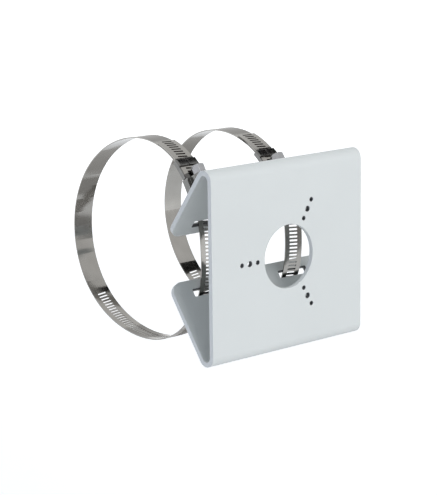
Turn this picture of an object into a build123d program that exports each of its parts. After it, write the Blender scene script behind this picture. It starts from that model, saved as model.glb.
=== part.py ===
"""Pole mount bracket of folded sheet with two perforated worm-drive band clamps.

One sheet is folded to a square front face and two flanges that lean back and inwards.
Each clamp is a perforated steel strip that runs through a slot in either flange and
closes behind them round the pole. A saddle under the strip and a pressed housing over
it hold the worm screw whose thread runs in the slots of the strip.

Frame: origin in the middle of the cable hole on the front face, X to the right seen
from the front, Y backwards to the pole, Z up. All lengths are millimetres.
"""
import math
import os
from build123d import *

# Sheet of the bracket
face_width = 124.0          # along the bends
face_height = 120.0         # over both bends
sheet = 3.0                 # steel with its powder coat
bend_inside = 3.6           # inner radius of both bends
flange_lean = 36.5          # degrees between the face and a flange
flange_straight = 51.2      # flat length of a flange from bend to free edge
corner_round = 8.0          # corners at the free edges

# Holes of the front face
cable_hole = 40.0
row_radii = (25.4, 31.75, 38.1)     # hole circles of 2, 2.5 and 3 inches across
row_bores = (2.5, 3.3, 2.5)         # core holes of tapped M3, M4 and M3
row_mouths = (3.4, 4.3, 3.4)        # countersinks that lead the screws in
row_angles = (180.0, 60.0, -60.0)

# Strap slots of the flanges
slot_length = 24.0
slot_width = 4.6
slot_corner = 0.8
slot_from_edge = 9.0        # slot middle to the free edge
slot_middle = 35.4          # slot middle from the centre line of the face

# Perforated strip
strip_width = 14.2          # 9/16 inch band
strip_thick = 0.7
layer_gap = 0.25            # between the two layers where the tail lies on the strip
perf_pitch = 2.4
perf_width = 1.2
perf_length = 7.0
tip_cut = 3.0               # corners taken off the tail tip

# Each loop: place along X, mean radius, how far its middle lies behind and above that of
# a circle through both slots, and its bulges, a cosine and a sine part with two, three
# and four waves round the loop. Then, along the strip: housing middle to the upper slot,
# tail behind it, and perforated stretch.
loops = {
    "left": dict(x=-35.3, radius=65.8, behind=-0.13, above=2.0,
                 bulges=((0.44, -0.81), (1.53, -0.65), (-0.58, 0.09)),
                 to_slot=21.26, tail=40.3, perforated=239.3),
    "right": dict(x=33.9, radius=60.8, behind=0.62, above=4.1,
                  bulges=((0.37, 2.17), (0.67, -0.29), (-0.31, -0.06)),
                  to_slot=20.68, tail=39.1, perforated=223.2),
}

# Screw, in a frame on the strip: x across, y outwards, z along the strip
worm_radius = 4.4
worm_gap = 0.3              # worm to the tail under it
worm_length = 10.0
neck_radius = 2.8
tip_radius = 2.0
tip_stands = 0.4            # tip in front of the end wall
bore_clear = 0.08           # running fit of neck and tip in the end walls
head_flats = 7.94           # 5/16 inch
head_length = 5.5
head_chamfer = 0.8          # taken off the corners at the outer end
chamfer_slope = 1.6
head_slot = 1.2
head_slot_deep = 1.6

# Pressed housing and saddle
shell = 0.8                 # sheet of both
worm_room = 0.3             # round the worm
end_play = 0.2              # between worm and end walls
strip_room = 0.2            # over the tail and under the strip
side_room = 0.15            # beside the strip
hook_reach = 3.6            # housing hooks under the saddle
saddle_tail = 19.6          # saddle from the housing middle towards the tail
saddle_room = 0.3           # between the saddle walls and the housing
ear_length = 4.8            # two ears, folded over the tail until they almost meet
ear_seam = 0.6              # between them
ear_round = 1.0             # outer side of their folds
fold_bite = 0.05            # by which the straight fold is set into the curved ears
hook_room = 0.35            # hooks to the saddle, which curves away from them

# Run of the strip at the housing
plain_inset = 0.7           # plain end behind the mouth of the housing
rise_length = 13.5          # over which the strip climbs onto its plain end
perf_margin = perf_pitch / 2        # tail tip to the middle of the first perforation

over = 1.0                  # by which a cutting body stands past what it cuts
arc_span = 4 * perf_pitch   # each curve of the strip ends between two perforations
rim_points = 30             # points round the loop
slot_clear = 6.0            # no rim point nearer to the slots than this
fine = 0.001                # to which a place along the strip is found


# %% Sheet: the folded profile with its slots and holes
lean = math.radians(flange_lean)
bend_outside = bend_inside + sheet
bend_y = bend_outside
bend_z = face_height / 2 - bend_outside
flange_normal = (math.cos(lean), math.sin(lean))
flange_run = (math.sin(lean), -math.cos(lean))


def flange_point(run, depth):
    """Point of the upper flange: run along it from the bend, depth below its outer side."""
    y = bend_y + flange_normal[0] * (bend_outside - depth) + flange_run[0] * run
    z = bend_z + flange_normal[1] * (bend_outside - depth) + flange_run[1] * run
    return y, z


slot_run = flange_straight - slot_from_edge
slot_y, slot_z = flange_point(slot_run, sheet / 2)


def profile_half(side):
    """Outer and inner lines of one half of the folded profile, for side +1 or -1."""
    def at(y, z):
        return (0.0, y, side * z)

    def on_bend(radius, turn):
        return at(bend_y - radius * math.cos(turn), bend_z + radius * math.sin(turn))

    full = math.pi - lean
    outer = [Line(at(0, 0), at(0, bend_z)),
             ThreePointArc(on_bend(bend_outside, 0), on_bend(bend_outside, full / 2),
                           on_bend(bend_outside, full)),
             Line(on_bend(bend_outside, full), at(*flange_point(flange_straight, 0)))]
    end = [Line(at(*flange_point(flange_straight, 0)), at(*flange_point(flange_straight, sheet)))]
    inner = [Line(at(*flange_point(flange_straight, sheet)), on_bend(bend_inside, full)),
             ThreePointArc(on_bend(bend_inside, full), on_bend(bend_inside, full / 2),
                           on_bend(bend_inside, 0)),
             Line(on_bend(bend_inside, 0), at(sheet, 0))]
    return outer + end + inner


profile = Face(Wire(profile_half(1) + profile_half(-1)[::-1]))
plate = extrude(profile, amount=face_width / 2, dir=(1, 0, 0), both=True)


def flange_plane(side, run):
    """Plane in the middle of a flange: x along X, y along the flange towards its edge."""
    y, z = flange_point(run, sheet / 2)
    normal = (0, flange_normal[0], side * flange_normal[1])
    return Plane(origin=(0, y, side * z), x_dir=(1, 0, 0), z_dir=normal)


def corner_waste(radius, length):
    """What a rounded corner at +x and +y leaves over, with the middle of its round at the origin."""
    return Pos(radius, radius, 0) * Box(2 * radius, 2 * radius, length) - Cylinder(radius, 2 * length)


cutters = []
for side in (1, -1):
    for middle in (-slot_middle, slot_middle):
        where = flange_plane(side, slot_run) * Pos(middle, 0, 0)
        outline = where * RectangleRounded(slot_length, slot_width, slot_corner)
        cutters.append(extrude(outline, amount=sheet, both=True))
    corner_plane = flange_plane(side, flange_straight - corner_round)
    quarter_turns = {(1, 1): 0, (-1, 1): 90, (-1, -1): 180, (1, -1): 270}
    for end in (-1, 1):
        at_corner = Pos(end * (face_width / 2 - corner_round), 0, 0) * Rot(0, 0, quarter_turns[end, side])
        cutters.append(corner_plane * at_corner * corner_waste(corner_round, 2 * sheet))
front = Plane(origin=(0, 0, 0), x_dir=(1, 0, 0), z_dir=(0, -1, 0))
cutters.append(front * Cylinder(cable_hole / 2, 4 * sheet))
for angle in row_angles:
    for radius, bore, mouth in zip(row_radii, row_bores, row_mouths):
        x = radius * math.cos(math.radians(angle))
        z = radius * math.sin(math.radians(angle))
        at_hole = front * Pos(x, z, 0)
        cutters.append(at_hole * Cylinder(bore / 2, 4 * sheet))
        cutters.append(at_hole * Cone(0, mouth, mouth))
plate = plate.cut(*cutters)


# %% Clamps: path of the strip, then strip, saddle, housing and screw
def loop_edge(loop):
    """Closed line of the strip in the YZ plane: round behind the flanges, through both slots."""
    middle = slot_y + math.sqrt(loop["radius"] ** 2 - slot_z ** 2) + loop["behind"]

    def rim(turn):
        radius = loop["radius"]
        for waves, (cosine, sine) in enumerate(loop["bulges"], start=2):
            radius += cosine * math.cos(waves * turn) + sine * math.sin(waves * turn)
        return middle + radius * math.cos(turn), loop["above"] + radius * math.sin(turn)

    ring = [rim(2 * math.pi * step / rim_points) for step in range(rim_points)]
    over_top = [(0, y, z) for y, z in ring[:rim_points // 2] if y > slot_y + slot_clear]
    below = [(0, y, z) for y, z in ring[rim_points // 2:] if y > slot_y + slot_clear]
    front_y = min(y for y, z in ring)
    in_front = [(0, slot_y, slot_z), (0, front_y, loop["above"]), (0, slot_y, -slot_z)]
    return Spline(*over_top, *in_front, *below, periodic=True)


class Path:
    """Places along a loop, measured from its rearmost point over the top to the front."""

    def __init__(self, loop):
        self.edge = loop_edge(loop)
        self.length = self.edge.length
        self.housing = self.upper_slot() - loop["to_slot"]
        self.stop = self.housing - loop["tail"] - self.length
        self.start = self.housing + housing_half - plain_inset

    def upper_slot(self):
        """Place where the strip passes the upper slot, found by halving."""
        behind, ahead = self.length / 4, self.length / 2
        while ahead - behind > fine:
            middle = (behind + ahead) / 2
            if self.station(middle)[0][0] > slot_y:
                behind = middle
            else:
                ahead = middle
        return ahead

    def station(self, along):
        share = (along / self.length) % 1.0
        point = self.edge.position_at(share)
        run = self.edge.tangent_at(share)
        return (point.Y, point.Z), (run.Y, run.Z), (run.Z, -run.Y)

    def offset(self, along, out):
        point, _, normal = self.station(along)
        return (0, point[0] + normal[0] * out, point[1] + normal[1] * out)


def flat(along):
    """Height of a strip that lies on the path."""
    return 0.0


def layer(path, start, stop, low, high, left, right, lift=flat, perforated=0.0):
    """Curved strip between two heights over the path, from left to right along X.

    Its sides are rows of arcs, and of parabolas over the length that gets perforated.
    """
    count = max(1, round((stop - start) / arc_span))
    ends = [start + arc_span * k for k in range(count)] + [stop]

    def curves(height):
        def at(along):
            return Vector(path.offset(along, height + lift(along)))

        def curve(first, last):
            middle = at((first + last) / 2)
            if first < start + perforated:
                return Bezier(at(first), middle * 2 - (at(first) + at(last)) / 2, at(last))
            return ThreePointArc(at(first), middle, at(last))

        return [curve(first, last) for first, last in zip(ends, ends[1:])]

    lower = curves(low)
    upper = curves(high)
    caps = [Line(lower[0] @ 0, upper[0] @ 0), Line(lower[-1] @ 1, upper[-1] @ 1)]
    solid = extrude(Face(Wire(lower + upper + caps)), amount=right - left, dir=(1, 0, 0))
    return Pos(left, 0, 0) * solid


def frame_at(path, along, out, x):
    """Plane on the path: x across, y outwards, z along the strip down the front."""
    point, run, normal = path.station(along)
    origin = (x, point[0] + normal[0] * out, point[1] + normal[1] * out)
    return Plane(origin=origin, x_dir=(1, 0, 0), z_dir=(0, run[0], run[1]))


half = strip_width / 2
layer_step = strip_thick + layer_gap
tail_top = layer_step + strip_thick / 2
worm_height = tail_top + worm_gap + worm_radius
dome_inside = worm_radius + worm_room
dome_outside = dome_inside + shell
wall_half = worm_length / 2 + end_play
housing_half = wall_half + shell
foot_low = tail_top + strip_room
foot_high = foot_low + shell
saddle_high = -strip_thick / 2 - strip_room
saddle_low = saddle_high - shell
wall_in = half + side_room
wall_out = wall_in + shell
hook_high = saddle_low - hook_room
hook_low = hook_high - shell
perf_slant = math.degrees(math.atan2(perf_pitch, 2 * math.pi * (worm_radius - strip_thick)))
perf_cut = 2 * layer_step - strip_thick - layer_gap / 2     # cuts one layer and spares the other


def strip_solid(path, loop):
    """The strip from its plain end in the housing, once round and on as the tail."""
    rise_to = path.housing - path.length + housing_half
    rise_from = rise_to + rise_length

    def lift(along):
        if along >= rise_from:
            return 0.0
        if along <= rise_to:
            return layer_step
        share = (rise_from - along) / (rise_from - rise_to)
        return layer_step * share * share * (3 - 2 * share)

    body = layer(path, path.stop, path.start, -strip_thick / 2, strip_thick / 2, -half, half,
                 lift, loop["perforated"])
    tools = []
    along = path.stop + perf_margin
    perforation = Rot(0, -perf_slant, 0) * Box(perf_length, perf_cut, perf_width)
    while along < path.stop + loop["perforated"]:
        tools.append(frame_at(path, along, lift(along), 0) * perforation)
        along += perf_pitch
    tip = frame_at(path, path.stop, lift(path.stop), 0)
    corner = Rot(0, 45, 0) * Box(3 * tip_cut, perf_cut, 3 * tip_cut)
    reach = 3 * tip_cut / math.sqrt(2) - tip_cut / 2
    for end in (-1, 1):
        tools.append(tip * Pos(end * (half + reach), 0, -reach) * corner)
    return Pos(loop["x"], 0, 0) * body.cut(*tools)


def saddle_solid(path, loop):
    """Channel under the strip with two ears folded over the tail."""
    middle = path.housing
    back = middle - saddle_tail
    front = middle + housing_half
    wide = wall_out + over
    block = layer(path, back, front, saddle_low, foot_high, -wall_out, wall_out)
    channel = layer(path, back - over, front + over, saddle_high, foot_low, -wall_in, wall_in)
    seam = layer(path, back - over, front + over, 0, foot_high + over, -ear_seam / 2, ear_seam / 2)
    above_walls = layer(path, back + ear_length, front + over, tail_top, foot_high + over, -wide, wide)
    on_ear = frame_at(path, back + ear_length / 2, foot_high - ear_round - fold_bite, 0)
    fold_waste = corner_waste(ear_round, 2 * ear_length)
    right_fold = on_ear * Pos(wall_out - ear_round, 0, 0) * fold_waste
    left_fold = on_ear * Pos(ear_round - wall_out, 0, 0) * Rot(0, 0, 90) * fold_waste
    block = block.cut(channel, seam, above_walls, right_fold, left_fold)
    deep = 2 * saddle_tail
    beside = Box(deep, deep, deep, align=(Align.MIN, Align.CENTER, Align.MIN))
    mouth = frame_at(path, middle - housing_half - saddle_room, 0, 0)
    block = block.cut(mouth * Pos(half, 0, 0) * beside, mouth * Pos(-half - deep, 0, 0) * beside)
    return Pos(loop["x"], 0, 0) * block


def housing_solid(path, loop):
    """Pressed shell: dome over the worm, feet, side walls and hooks under the saddle."""
    place = frame_at(path, path.housing, 0, loop["x"])
    length = 2 * housing_half
    dome_high = worm_height - foot_low
    dome = Pos(0, worm_height, 0) * Cylinder(dome_outside, length)
    legs = Pos(0, foot_low + dome_high / 2, 0) * Box(2 * dome_outside, dome_high, length)
    feet = Pos(0, foot_low + shell / 2, 0) * Box(2 * wall_out, shell, length)
    solid = dome.fuse(legs, feet)
    below = Pos(0, foot_low - dome_outside, 0) * Box(4 * wall_out, 2 * dome_outside, 2 * length)
    room = Pos(0, worm_height, 0) * Cylinder(dome_inside, 2 * wall_half)
    room_legs = Pos(0, worm_height - dome_high / 2, 0) * Box(2 * dome_inside, dome_high, 2 * wall_half)
    solid = solid.cut(below, room, room_legs)
    neck = Pos(0, worm_height, -wall_half) * Cylinder(neck_radius + bore_clear, 4 * shell)
    tip = Pos(0, worm_height, wall_half) * Cylinder(tip_radius + bore_clear, 4 * shell)
    solid = solid.cut(neck, tip)
    sides = []
    for side in (-1, 1):
        wall = Box(shell, foot_high - hook_low, length)
        sides.append(Pos(side * (wall_in + wall_out) / 2, (foot_high + hook_low) / 2, 0) * wall)
        hook = Box(hook_reach, shell, length)
        sides.append(Pos(side * (wall_out - hook_reach / 2), (hook_high + hook_low) / 2, 0) * hook)
    return place * solid.fuse(*sides).clean()


def screw_solid(path, loop):
    """Worm with its neck, tip journal and slotted hexagon head."""
    place = frame_at(path, path.housing, worm_height, loop["x"])
    tip_end = housing_half + tip_stands
    worm = Cylinder(worm_radius, worm_length)
    tip = Pos(0, 0, (worm_length / 2 + tip_end) / 2) * Cylinder(tip_radius, tip_end - worm_length / 2)
    neck_top = -housing_half - end_play
    neck_length = -worm_length / 2 - neck_top
    neck = Pos(0, 0, neck_top + neck_length / 2) * Cylinder(neck_radius, neck_length)
    at_end = Pos(0, 0, neck_top - head_length)
    hexagon = extrude(at_end * RegularPolygon(head_flats / 2, 6, major_radius=False), amount=head_length)
    corner = head_flats / 2 / math.cos(math.pi / 6)
    narrow = corner - head_chamfer
    upright = (Align.CENTER, Align.CENTER, Align.MIN)
    cone = at_end * Cone(narrow, narrow + chamfer_slope * head_length, head_length, align=upright)
    groove = at_end * Box(3 * corner, head_slot, 2 * head_slot_deep)
    head = (hexagon & cone) - groove
    return place * worm.fuse(tip, neck, head)


nodes = {"mount_plate": plate}
for name, loop in loops.items():
    path = Path(loop)
    nodes[name + "_band"] = strip_solid(path, loop)
    nodes[name + "_saddle"] = saddle_solid(path, loop)
    nodes[name + "_housing"] = housing_solid(path, loop)
    nodes[name + "_screw"] = screw_solid(path, loop)

os.makedirs("parts", exist_ok=True)
for name, shape in nodes.items():
    export_step(shape, "parts/" + name + ".step")
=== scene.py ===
# %% [markdown]
# Camera pole mount bracket. A folded sheet of coated steel carries a camera on its square
# front face, and two perforated band clamps strap it to a pole. The solids come from the
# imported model. This lesson adds the camera, the finishes, the small rounded edges that a
# solid model leaves sharp, and a plain studio.

import math

import bmesh
import bpy
from mathutils import Matrix, Vector

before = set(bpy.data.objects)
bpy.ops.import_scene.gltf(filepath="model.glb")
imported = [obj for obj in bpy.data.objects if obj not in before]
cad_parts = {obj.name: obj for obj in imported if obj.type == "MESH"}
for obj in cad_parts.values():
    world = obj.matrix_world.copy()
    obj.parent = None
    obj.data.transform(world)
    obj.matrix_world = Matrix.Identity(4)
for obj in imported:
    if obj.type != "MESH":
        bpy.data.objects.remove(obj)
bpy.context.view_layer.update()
mm = 0.001
print("nodes", sorted(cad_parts))

# %% [markdown]
# The camera is placed first, so that every finish is judged from the side that the
# photograph shows. Its place follows from an azimuth, an elevation and a distance. They
# could be set by eye, but here they are fitted to the corners, holes and slots of the
# photograph. A long lens keeps the sides of the square face almost parallel.


# %% Directions round the part
def toward(azimuth, elevation):
    """Unit vector by degrees; azimuth 0 is in front of the face, elevation 90 above it."""
    a = math.radians(azimuth)
    e = math.radians(elevation)
    return Vector((math.sin(a) * math.cos(e), -math.cos(a) * math.cos(e), math.sin(e)))


print("in front of the face", tuple(toward(0, 0)))

# %% View of the photograph
photo_height = 495
camera_azimuth = -40.35
camera_elevation = 12.47
camera_roll = math.radians(-0.72)
camera_distance = 1107.66 * mm
camera_right = -43.15 * mm
camera_up = 5.93 * mm
focal_pixels = 1804.9

back = toward(camera_azimuth, camera_elevation)
right = toward(camera_azimuth + 90, 0)
up = back.cross(right)
turned_right = right * math.cos(camera_roll) + up * math.sin(camera_roll)
turned_up = up * math.cos(camera_roll) - right * math.sin(camera_roll)
print("camera stands toward", [round(c, 3) for c in back])

# %% Camera
lens = bpy.data.cameras.new("camera")
lens.lens = focal_pixels * lens.sensor_width / photo_height
lens.clip_start = 0.05
lens.clip_end = 50.0
camera = bpy.data.objects.new("camera", lens)
bpy.context.scene.collection.objects.link(camera)
stand = Matrix((turned_right, turned_up, back)).transposed().to_4x4()
stand.translation = back * camera_distance + right * camera_right + up * camera_up
camera.matrix_world = stand
bpy.context.scene.camera = camera
bpy.context.scene.view_settings.view_transform = "Standard"
print("lens", round(lens.lens, 1), "mm")

# %% [markdown]
# Colours are written as they look on a screen, in hex, and one function turns them into
# the linear values that a shader mixes with. One more function adds a node, gives it its
# settings and joins its inputs, so that each finish below reads as a short recipe.


# %% Colour helper
def linear(hex_colour):
    """Linear RGBA of a screen colour such as "d9dcde"."""
    def channel(text):
        value = int(text, 16) / 255
        return value / 12.92 if value <= 0.04045 else ((value + 0.055) / 1.055) ** 2.4

    return (channel(hex_colour[0:2]), channel(hex_colour[2:4]), channel(hex_colour[4:6]), 1.0)


print("white is", linear("ffffff"))


# %% Node helpers
def add_node(tree, kind, settings=None, inputs=None):
    """A new node with its settings; each input is a plain value or another node's output."""
    node = tree.nodes.new(kind)
    for name, value in (settings or {}).items():
        setattr(node, name, value)
    for name, value in (inputs or {}).items():
        if isinstance(value, bpy.types.NodeSocket):
            tree.links.new(value, node.inputs[name])
        else:
            node.inputs[name].default_value = value
    return node


def new_finish(name, **surface):
    """A material with a Principled shader and the object's own coordinates."""
    material = bpy.data.materials.new(name)
    material.use_nodes = True
    tree = material.node_tree
    shader = tree.nodes["Principled BSDF"]
    for socket, value in surface.items():
        shader.inputs[socket.replace("_", " ")].default_value = value
    place = add_node(tree, "ShaderNodeTexCoord").outputs["Object"]
    return material, tree, shader, place


print("helpers", add_node.__name__, new_finish.__name__)

# %% [markdown]
# The tapped holes are plugged while the coat goes on, so their walls show bare steel, and their dark colour
# also paints the shade that falls into the deep bores. The walls of the strap slots get the same dark
# colour, as painted shade only. The coat creeps past the plugs into the countersunk mouths, whose outer part
# stays pale. The walls could be given a material of their own, but the solids are fixed. So two masks find
# them in the part's own coordinates, by the distance from the axis of a hole and from the outline of a slot.
# Each mask reaches a hair past its wall, so that rounding doesn't speckle it.

# %% Bare walls of the tapped holes, with painted shade in the bores
hole_rows = (180, 60, -60)                   # degrees round the cable hole
hole_circles = ((25.4 * mm, 2.8 * mm),       # radius of the circle, width of the bare part
                (31.75 * mm, 3.6 * mm),
                (38.1 * mm, 2.8 * mm))
sheet = 3 * mm
hair = 0.03 * mm


def bare_and_shaded_holes(tree, place):
    """1 on the walls of the tapped holes, 0 elsewhere."""
    flat = add_node(tree, "ShaderNodeVectorMath", {"operation": "MULTIPLY"}, {0: place, 1: (1, 0, 1)})
    depth = add_node(tree, "ShaderNodeSeparateXYZ", {}, {"Vector": place})
    in_face = add_node(tree, "ShaderNodeMath", {"operation": "LESS_THAN"},
                       {0: depth.outputs["Y"], 1: sheet - hair})
    near = 0.0
    for row in hole_rows:
        for radius, width in hole_circles:
            axis = (radius * math.cos(math.radians(row)), 0, radius * math.sin(math.radians(row)))
            away = add_node(tree, "ShaderNodeVectorMath", {"operation": "DISTANCE"},
                            {0: flat.outputs["Vector"], 1: axis})
            inside = add_node(tree, "ShaderNodeMath", {"operation": "LESS_THAN"},
                              {0: away.outputs["Value"], 1: width / 2 + hair})
            near = add_node(tree, "ShaderNodeMath", {"operation": "MAXIMUM"},
                            {0: near, 1: inside.outputs["Value"]}).outputs["Value"]
    bare_and_shaded = add_node(tree, "ShaderNodeMath", {"operation": "MULTIPLY"},
                    {0: near, 1: in_face.outputs["Value"]})
    return bare_and_shaded.outputs["Value"]


print("bare walls in", len(hole_rows) * len(hole_circles), "holes")

# %% [markdown]
# The four slots mirror each other, so the side and the height lose their sign and one mask
# serves all four. It looks at the slot square to its flange: how far a point lies along the
# slot and across it, how much of that is past the straight sides, and whether what is left
# is within the rounded corner.

# %% Painted shade on the walls of the strap slots
slot_middle = (35.4 * mm, 35.8 * mm, 22.51 * mm)
slot_half = (12 * mm, 2.3 * mm)
slot_corner = 0.8 * mm
flange_lean = math.radians(36.5)
across_slot = (0, math.cos(flange_lean), -math.sin(flange_lean))
slot_straight = (slot_half[0] - slot_corner, slot_half[1] - slot_corner, 0)


def from_slot_middle(tree, place):
    """Where a point lies from the middle of its slot, for all four slots alike."""
    side_height = add_node(tree, "ShaderNodeVectorMath", {"operation": "MULTIPLY"},
                           {0: place, 1: (1, 0, 1)})
    unsigned = add_node(tree, "ShaderNodeVectorMath", {"operation": "ABSOLUTE"},
                        {0: side_height.outputs["Vector"]})
    with_depth = add_node(tree, "ShaderNodeVectorMath", {"operation": "MULTIPLY_ADD"},
                          {0: place, 1: (0, 1, 0), 2: unsigned.outputs["Vector"]})
    local = add_node(tree, "ShaderNodeVectorMath", {"operation": "SUBTRACT"},
                     {0: with_depth.outputs["Vector"], 1: slot_middle})
    return local.outputs["Vector"]


def painted_slot_shade(tree, place):
    """1 on the walls of the strap slots, which get painted shade, 0 elsewhere."""
    local = from_slot_middle(tree, place)
    along = add_node(tree, "ShaderNodeVectorMath", {"operation": "DOT_PRODUCT"}, {0: local, 1: (1, 0, 0)})
    across = add_node(tree, "ShaderNodeVectorMath", {"operation": "DOT_PRODUCT"},
                      {0: local, 1: across_slot})
    flat = add_node(tree, "ShaderNodeCombineXYZ", {},
                    {"X": along.outputs["Value"], "Y": across.outputs["Value"]})
    quarter = add_node(tree, "ShaderNodeVectorMath", {"operation": "ABSOLUTE"},
                       {0: flat.outputs["Vector"]})
    beyond = add_node(tree, "ShaderNodeVectorMath", {"operation": "SUBTRACT"},
                      {0: quarter.outputs["Vector"], 1: slot_straight})
    corner = add_node(tree, "ShaderNodeVectorMath", {"operation": "MAXIMUM"},
                      {0: beyond.outputs["Vector"], 1: (0, 0, 0)})
    reach = add_node(tree, "ShaderNodeVectorMath", {"operation": "LENGTH"},
                     {0: corner.outputs["Vector"]})
    inside = add_node(tree, "ShaderNodeMath", {"operation": "LESS_THAN"},
                      {0: reach.outputs["Value"], 1: slot_corner + hair})
    return inside.outputs["Value"]


# The slot walls carry painted shade, not bare steel.
print("bare walls in slots of", [round(2 * half / mm, 1) for half in slot_half], "mm")

# %% [markdown]
# Powder coat is sprayed on as dry plastic dust and baked. It flows into a satin skin with a
# faint orange peel, soft hills a few millimetres wide, and it has no grain. So the finish
# is one pale grey, a middling roughness, a low bump for the peel, and a colour that drifts
# by a hair, because the coat isn't equally thick everywhere. The coat also flows round the
# cut edges, which the solids leave sharp. A Bevel node rounds them in the shading and leaves
# the mesh alone.

# %% Powder coat of the bracket
coat_tints = ("d8dbd9", "dee1df")
# Dark colour for the walls of holes and slots: bare steel in the holes, and painted shade in the bores and
# on the slot walls.
bare_steel_and_shade = "46484b"
drift_width = 60 * mm
peel_width = 2.2 * mm
peel_height = 0.02 * mm
peel_strength = 0.6
coated_edge = 0.4 * mm
edge_samples = 6


def powder_coat():
    """Satin coat with orange peel and rounded edges, dark where the holes show bare steel and painted shade
    and where the slot walls show painted shade.
    """
    material, tree, shader, place = new_finish("powder_coat", Roughness=0.48, IOR=1.5)
    drift = add_node(tree, "ShaderNodeTexNoise", {},
                     {"Vector": place, "Scale": 1 / drift_width, "Detail": 2.0})
    tint = add_node(tree, "ShaderNodeMix", {"data_type": "RGBA"},
                    {"Factor": drift.outputs["Fac"], "A": linear(coat_tints[0]), "B": linear(coat_tints[1])})
    # Dark walls: bare steel with painted shade in the tapped holes, and painted shade only in the strap
    # slots.
    bare_and_shaded = add_node(tree, "ShaderNodeMath", {"operation": "MAXIMUM"},
                    {0: bare_and_shaded_holes(tree, place), 1: painted_slot_shade(tree, place)})
    surface = add_node(tree, "ShaderNodeMix", {"data_type": "RGBA"},
                       {"Factor": bare_and_shaded.outputs["Value"], "A": tint.outputs["Result"],
                        "B": linear(bare_steel_and_shade)})
    tree.links.new(surface.outputs["Result"], shader.inputs["Base Color"])
    rounded = add_node(tree, "ShaderNodeBevel", {"samples": edge_samples}, {"Radius": coated_edge})
    peel = add_node(tree, "ShaderNodeTexNoise", {},
                    {"Vector": place, "Scale": 1 / peel_width, "Detail": 1.0})
    bump = add_node(tree, "ShaderNodeBump", {},
                    {"Height": peel.outputs["Fac"], "Distance": peel_height,
                     "Strength": peel_strength, "Normal": rounded.outputs["Normal"]})
    tree.links.new(bump.outputs["Normal"], shader.inputs["Normal"])
    return material


coat = powder_coat()
print("made", coat.name)

# %% [markdown]
# The strip is rolled stainless steel. Rolling leaves fine straight lines along the strip and
# nothing across it. The strip runs square to X all the way round its loop, so a noise that
# is fine along X and long the other ways draws those lines on the whole loop without any
# unwrapping. The real lines are finer than a hundredth of a millimetre, too fine to show,
# so they are drawn about a third of a millimetre apart. Soft clouds in the tint stand for
# the uneven shine of a strip that was coiled and handled.

# %% Rolled strip of the clamps
strip_tints = ("8d8b87", "a4a29e")
strip_gloss = (0.06, 0.14)
strip_cloud = 14 * mm
line_gap = 0.3 * mm
line_length = 25 * mm
line_depth = 0.004 * mm
line_strength = 0.5


def rolled_steel():
    """Stainless strip with lines along the way it was rolled."""
    material, tree, shader, place = new_finish("rolled_stainless", Metallic=1.0)
    stretch = add_node(tree, "ShaderNodeMapping", {},
                       {"Vector": place, "Scale": (1 / line_gap, 1 / line_length, 1 / line_length)})
    lines = add_node(tree, "ShaderNodeTexNoise", {},
                     {"Vector": stretch.outputs["Vector"], "Scale": 1.0, "Detail": 2.0})
    cloud = add_node(tree, "ShaderNodeTexNoise", {},
                     {"Vector": place, "Scale": 1 / strip_cloud, "Detail": 2.0})
    tint = add_node(tree, "ShaderNodeMix", {"data_type": "RGBA"},
                    {"Factor": cloud.outputs["Fac"], "A": linear(strip_tints[0]),
                     "B": linear(strip_tints[1])})
    tree.links.new(tint.outputs["Result"], shader.inputs["Base Color"])
    gloss = add_node(tree, "ShaderNodeMapRange", {},
                     {"Value": lines.outputs["Fac"], "To Min": strip_gloss[0], "To Max": strip_gloss[1]})
    tree.links.new(gloss.outputs["Result"], shader.inputs["Roughness"])
    bump = add_node(tree, "ShaderNodeBump", {},
                    {"Height": lines.outputs["Fac"], "Distance": line_depth, "Strength": line_strength})
    tree.links.new(bump.outputs["Normal"], shader.inputs["Normal"])
    return material


strip_finish = rolled_steel()
print("made", strip_finish.name)

# %% [markdown]
# Saddle and housing are pressed from the same kind of stainless sheet. The press rubs the
# lines out and leaves a slightly duller, cloudy skin. The screw is plated steel, brighter
# and smoother, with a little unevenness from the plating bath. Both are one recipe with
# other colours. Their edges are rubbed round in a drum after pressing, and the same Bevel
# node as on the coat shows that, with a smaller radius.

# %% Pressed sheet and plated screw
rubbed_edge = 0.25 * mm
mean_gloss = 0.16
gloss_swing = 0.06


def cloudy_steel(name, dark, light, cloud):
    """Steel whose tint and gloss change in soft clouds of the given width."""
    material, tree, shader, place = new_finish(name, Metallic=1.0)
    clouds = add_node(tree, "ShaderNodeTexNoise", {},
                      {"Vector": place, "Scale": 1 / cloud, "Detail": 3.0})
    tint = add_node(tree, "ShaderNodeMix", {"data_type": "RGBA"},
                    {"Factor": clouds.outputs["Fac"], "A": linear(dark), "B": linear(light)})
    tree.links.new(tint.outputs["Result"], shader.inputs["Base Color"])
    gloss = add_node(tree, "ShaderNodeMapRange", {},
                     {"Value": clouds.outputs["Fac"], "To Min": mean_gloss - gloss_swing,
                      "To Max": mean_gloss + gloss_swing})
    tree.links.new(gloss.outputs["Result"], shader.inputs["Roughness"])
    rounded = add_node(tree, "ShaderNodeBevel", {"samples": edge_samples}, {"Radius": rubbed_edge})
    tree.links.new(rounded.outputs["Normal"], shader.inputs["Normal"])
    return material


pressed_finish = cloudy_steel("pressed_stainless", "6b6b6a", "848482", 3 * mm)
screw_finish = cloudy_steel("plated_steel", "929395", "a8a9ab", 2 * mm)
print("made", pressed_finish.name, screw_finish.name)

# %% [markdown]
# Each solid is named by its side and its kind, so the last word of the name picks the
# finish. All slots of a solid get the same one, because every piece is of one material.

# %% Finishes on the solids
finishes = {"plate": coat, "band": strip_finish, "saddle": pressed_finish,
            "housing": pressed_finish, "screw": screw_finish}
for name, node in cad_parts.items():
    finish = finishes[name.split("_")[-1]]
    for slot in node.material_slots:
        slot.material = finish
    print(name, "is", finish.name)

# %% [markdown]
# The studio is a white floor below the part, which hangs on its pole in use, and a white
# world. Both are white to the camera and to mirrors, and light the part at a plain level.
# The Light Path node tells such rays from those that only carry light. Light that falls
# into the hollow from the world is a little blue, as daylight is.


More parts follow.
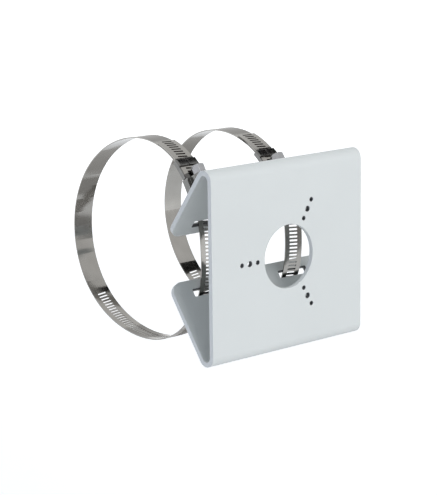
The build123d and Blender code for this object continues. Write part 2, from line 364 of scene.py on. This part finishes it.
# %% Rays that see white
def white_rays(tree):
    """1 for rays of the camera, of mirrors and through glass, 0 for rays that carry light."""
    path = add_node(tree, "ShaderNodeLightPath")
    camera_or_mirror = add_node(tree, "ShaderNodeMath", {"operation": "ADD"},
                                {0: path.outputs["Is Camera Ray"], 1: path.outputs["Is Glossy Ray"]})
    seen = add_node(tree, "ShaderNodeMath", {"operation": "ADD"},
                    {0: camera_or_mirror.outputs["Value"], 1: path.outputs["Is Transmission Ray"]})
    return seen.outputs["Value"]


print("white for the camera, mirrors and glass")

# %% World
world_level = 0.42
world = bpy.data.worlds.new("studio")
bpy.context.scene.world = world
world.use_nodes = True
tree = world.node_tree
background = tree.nodes["Background"]
seen = white_rays(tree)
strength = add_node(tree, "ShaderNodeMapRange", {},
                    {"Value": seen, "To Min": world_level, "To Max": 1.0})
tree.links.new(strength.outputs["Result"], background.inputs["Strength"])
daylight = add_node(tree, "ShaderNodeMix", {"data_type": "RGBA", "clamp_factor": True},
                    {"Factor": seen, "A": linear("e4edf6"), "B": linear("ffffff")})
tree.links.new(daylight.outputs["Result"], background.inputs["Color"])
print("world", world_level)

# %% [markdown]
# The floor still takes its shadow: near the part it shines only a little by itself, and the
# rest of its white is lamp light, which the shadow takes away. Far off, where no lamp
# reaches it, it shines more, so that it meets the white world without a seam. Floor and
# cards are flat sheets, and one function makes both. It turns and moves the mesh and leaves
# the object at the origin.


# %% Flat sheets
def flat_sheet(name, width, height, turn, place):
    """Rectangle of the given size, turned and then moved."""
    shape = bmesh.new()
    bmesh.ops.create_grid(shape, x_segments=1, y_segments=1, size=0.5)
    bmesh.ops.scale(shape, verts=shape.verts, vec=(width, height, 1))
    bmesh.ops.rotate(shape, verts=shape.verts, matrix=turn)
    bmesh.ops.translate(shape, verts=shape.verts, vec=place)
    mesh = bpy.data.meshes.new(name)
    shape.to_mesh(mesh)
    shape.free()
    flat = bpy.data.objects.new(name, mesh)
    bpy.context.scene.collection.objects.link(flat)
    return flat


floor_drop = 0.30
floor_size = 12.0
floor = flat_sheet("floor", floor_size, floor_size, Matrix.Identity(3), (0, 0, -floor_drop))
print("floor at", -floor_drop)

# %% White of the floor
floor_glow = (0.36, 1.0)
glow_between = (0.5, 3.0)
material, tree, shader, place = new_finish("floor_white", Roughness=0.9, Base_Color=linear("f4f4f4"),
                                           Emission_Color=linear("ffffff"))
away = add_node(tree, "ShaderNodeVectorMath", {"operation": "LENGTH"}, {0: place})
rise = add_node(tree, "ShaderNodeMapRange", {"interpolation_type": "SMOOTHSTEP"},
                {"Value": away.outputs["Value"], "From Min": glow_between[0],
                 "From Max": glow_between[1], "To Min": floor_glow[0], "To Max": floor_glow[1]})
glow = add_node(tree, "ShaderNodeMath", {"operation": "MULTIPLY"},
                {0: white_rays(tree), 1: rise.outputs["Result"]})
tree.links.new(glow.outputs["Value"], shader.inputs["Emission Strength"])
floor.data.materials.append(material)
print("floor shines", floor_glow, "between", glow_between, "m")

# %% [markdown]
# Polished steel shows whatever stands round it, so in an all white room it looks like grey plastic. A
# photographer sets dark cards beside such an object, out of the picture, and their mirror images draw its
# shape. Here each card is a painted reflection: only mirrors see it, and it neither lights nor shades the
# part.
#
# A strip runs square to X all the way round, so it mirrors only directions that have the same slant to X as
# the view. Each card hangs in such a direction, seen from the piece that should show it. It hangs near the
# part, so that it darkens one loop and not the other. Two cards low down paint into the strips the shade on
# the floor below the part and the part's shadow on the floor.


# %% Cards that mirrors see
def hang_card(name, azimuth, elevation, distance, width, height, shade):
    """Flat card that faces the part; mirrors see its even shade."""
    way = toward(azimuth, elevation)
    turn = way.to_track_quat("Z", "Y").to_matrix()
    card = flat_sheet(name, width, height, turn, way * distance)
    material, _, _, _ = new_finish(name, Roughness=1.0, Base_Color=linear("000000"),
                                   Specular_IOR_Level=0.0, Emission_Color=linear(shade),
                                   Emission_Strength=1.0)
    card.data.materials.append(material)
    card.visible_camera = False
    card.visible_diffuse = False
    card.visible_shadow = False
    card.visible_transmission = False
    print(name, "at", [round(c, 2) for c in way * distance])


# Name, azimuth and elevation in degrees, distance, width and height in metres, and shade.
hang_card("upper_card", 96.3, 42.9, 0.434, 0.09, 0.066, "101010")
hang_card("clamp_card", 111.4, 55, 0.301, 0.05, 0.15, "080808")
hang_card("side_card", 50.4, -17, 0.312, 0.044, 0.18, "a8a8a8")
# Painted shade of the floor below the part, then the painted shadow of the part on the floor, both seen only
# in the strips.
hang_card("floor_shade_card", 99, -52, 0.33, 0.13, 0.11, "c0c0c0")
hang_card("floor_shadow_card", 130, -34, 0.34, 0.26, 0.20, "cfcfcf")
hang_card("back_card", 139, 17, 1.2, 0.36, 0.5, "cfcfcf")

# %% [markdown]
# Three large soft lamps stand round the part: one in front of the face, one at its left and
# one behind. Each is placed by a direction and a distance, and its power follows from the
# light that it should put on a white surface that faces it.


# %% Lamps
def lamp(name, azimuth, elevation, distance, size, level, colour):
    """Square area lamp that lights a surface facing it at the origin to the given level."""
    light = bpy.data.lights.new(name, "AREA")
    light.shape = "SQUARE"
    light.size = size
    light.color = linear(colour)[:3]
    light.energy = level * (math.pi * distance) ** 2
    way = toward(azimuth, elevation)
    tripod = bpy.data.objects.new(name, light)
    tripod.location = way * distance
    tripod.rotation_mode = "QUATERNION"
    tripod.rotation_quaternion = way.to_track_quat("Z", "Y")
    bpy.context.scene.collection.objects.link(tripod)
    print(name, round(light.energy, 1), "W")


# Name, azimuth and elevation in degrees, distance and size in metres, level, and colour.
lamp("front_lamp", 10, 35, 2.0, 1.4, 0.58, "ffffff")
lamp("side_lamp", -80, 2, 2.0, 0.9, 0.20, "e2e4ff")
lamp("back_lamp", 170, 50, 2.2, 1.6, 0.22, "ffffff")
